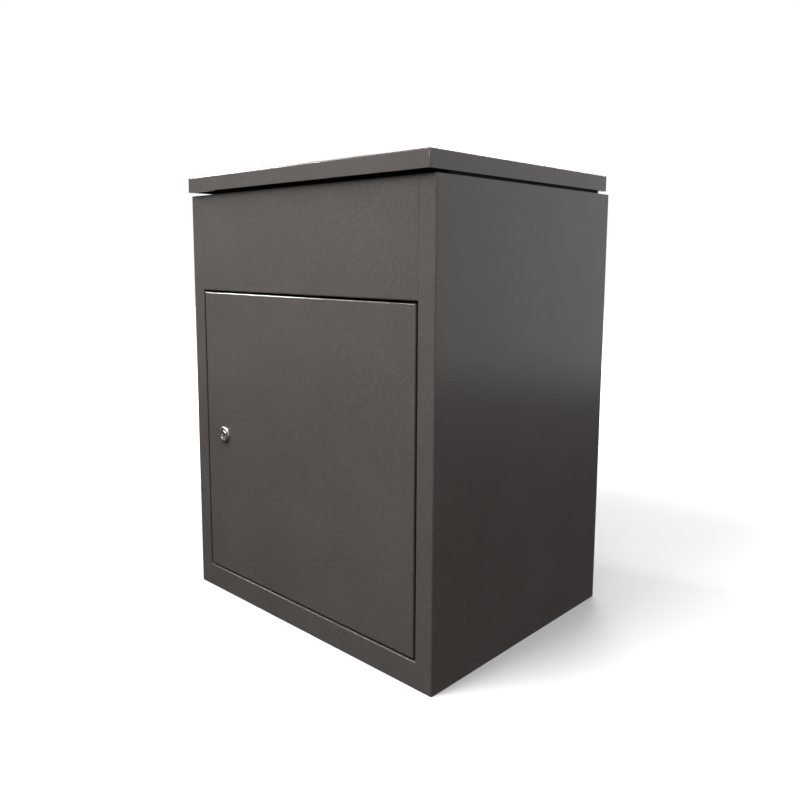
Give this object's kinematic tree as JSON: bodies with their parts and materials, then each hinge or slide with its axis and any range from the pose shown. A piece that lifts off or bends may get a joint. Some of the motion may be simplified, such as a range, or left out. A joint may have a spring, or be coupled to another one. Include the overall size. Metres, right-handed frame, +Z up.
{
  "type": "parcel drop box",
  "caption": "Free-standing folded-steel parcel box with a hinged lid, a linked drop baffle and a lockable front door.",
  "frame": {"origin": "middle of the cabinet's base, on the floor", "axes": "+X to the right seen from the front, -Y towards the front with the door, +Z up"},
  "size_m": [0.44, 0.354, 0.5742],
  "materials": {
    "powder_coat": "fine-textured satin powder coat, dark warm grey",
    "zinc_steel": "bright zinc plate",
    "black_steel": "black oxide",
    "lock_chrome": "polished chrome plate",
    "rubber": "matt black"
  },
  "bodies": {
    "cabinet": {"side_panel_left": "powder_coat", "side_panel_right": "powder_coat", "back_panel": "powder_coat", "base_pan": "powder_coat", "fascia_panel": "powder_coat", "bottom_rail": "powder_coat", "rain_collar": "powder_coat", "stop_strip": "powder_coat", "stop_buffers": "rubber", "hinge_leaf_cabinet": "zinc_steel", "hinge_pin": "zinc_steel", "pivot_bracket_bottom": "black_steel", "pivot_bracket_top": "black_steel", "baffle_bearing_left": "zinc_steel", "baffle_bearing_right": "zinc_steel", "bearing_studs": "zinc_steel", "bearing_nuts": "zinc_steel"},
    "lid": {"lid_shell": "powder_coat", "lid_stiffeners": "powder_coat", "lid_seal": "rubber", "hinge_leaf_lid": "zinc_steel", "lid_bracket_left": "zinc_steel", "lid_bracket_right": "zinc_steel", "link_pins_upper": "zinc_steel", "link_clips_upper": "zinc_steel"},
    "link_left": {"link_left": "zinc_steel"},
    "link_right": {"link_right": "zinc_steel"},
    "baffle": {"baffle_plate": "powder_coat", "baffle_rod": "zinc_steel", "baffle_ear_left": "zinc_steel", "baffle_ear_right": "zinc_steel", "baffle_edge_trim": "rubber", "link_pins_lower": "zinc_steel", "link_clips_lower": "zinc_steel", "rod_collars": "zinc_steel"},
    "door": {"door_shell": "powder_coat", "door_stiffener": "powder_coat", "door_pivot_blocks": "black_steel", "door_pivot_pins": "black_steel", "lock_housing": "lock_chrome", "lock_nut": "zinc_steel"},
    "lock_barrel": {"lock_barrel": "lock_chrome", "lock_cam": "zinc_steel", "cam_screw": "zinc_steel"}
  },
  "joints": [
    {"name": "lid_hinge", "type": "hinge", "parent": "cabinet", "child": "lid", "pos_m": [0, 0.1705, 0.5524], "axis": [-1, 0, 0], "range_deg": [0, 75]},
    {"name": "baffle_rod_turn", "type": "hinge", "parent": "cabinet", "child": "baffle", "pos_m": [0, 0.1585, 0.427], "axis": [-1, 0, 0], "range_deg": [0, 75]},
    {"name": "link_left_pivot", "type": "hinge", "parent": "lid", "child": "link_left", "pos_m": [-0.202, 0.1229, 0.51587], "axis": [-1, 0, 0], "range_deg": [-75, 0]},
    {"name": "link_right_pivot", "type": "hinge", "parent": "lid", "child": "link_right", "pos_m": [0.202, 0.1229, 0.51587], "axis": [-1, 0, 0], "range_deg": [-75, 0]},
    {"name": "door_pivot", "type": "hinge", "parent": "cabinet", "child": "door", "pos_m": [0.1873, -0.1685, 0.227], "axis": [0, 0, 1], "range_deg": [0, 110]},
    {"name": "lock_turn", "type": "hinge", "parent": "door", "child": "lock_barrel", "pos_m": [-0.1543, -0.1585, 0.227], "axis": [0, 1, 0], "range_deg": [0, 90]}
  ],
  "couplings": [
    {"joint": "baffle_rod_turn", "follows": "lid_hinge", "ratio": 1},
    {"joint": "link_left_pivot", "follows": "lid_hinge", "ratio": -1},
    {"joint": "link_right_pivot", "follows": "lid_hinge", "ratio": -1}
  ]
}
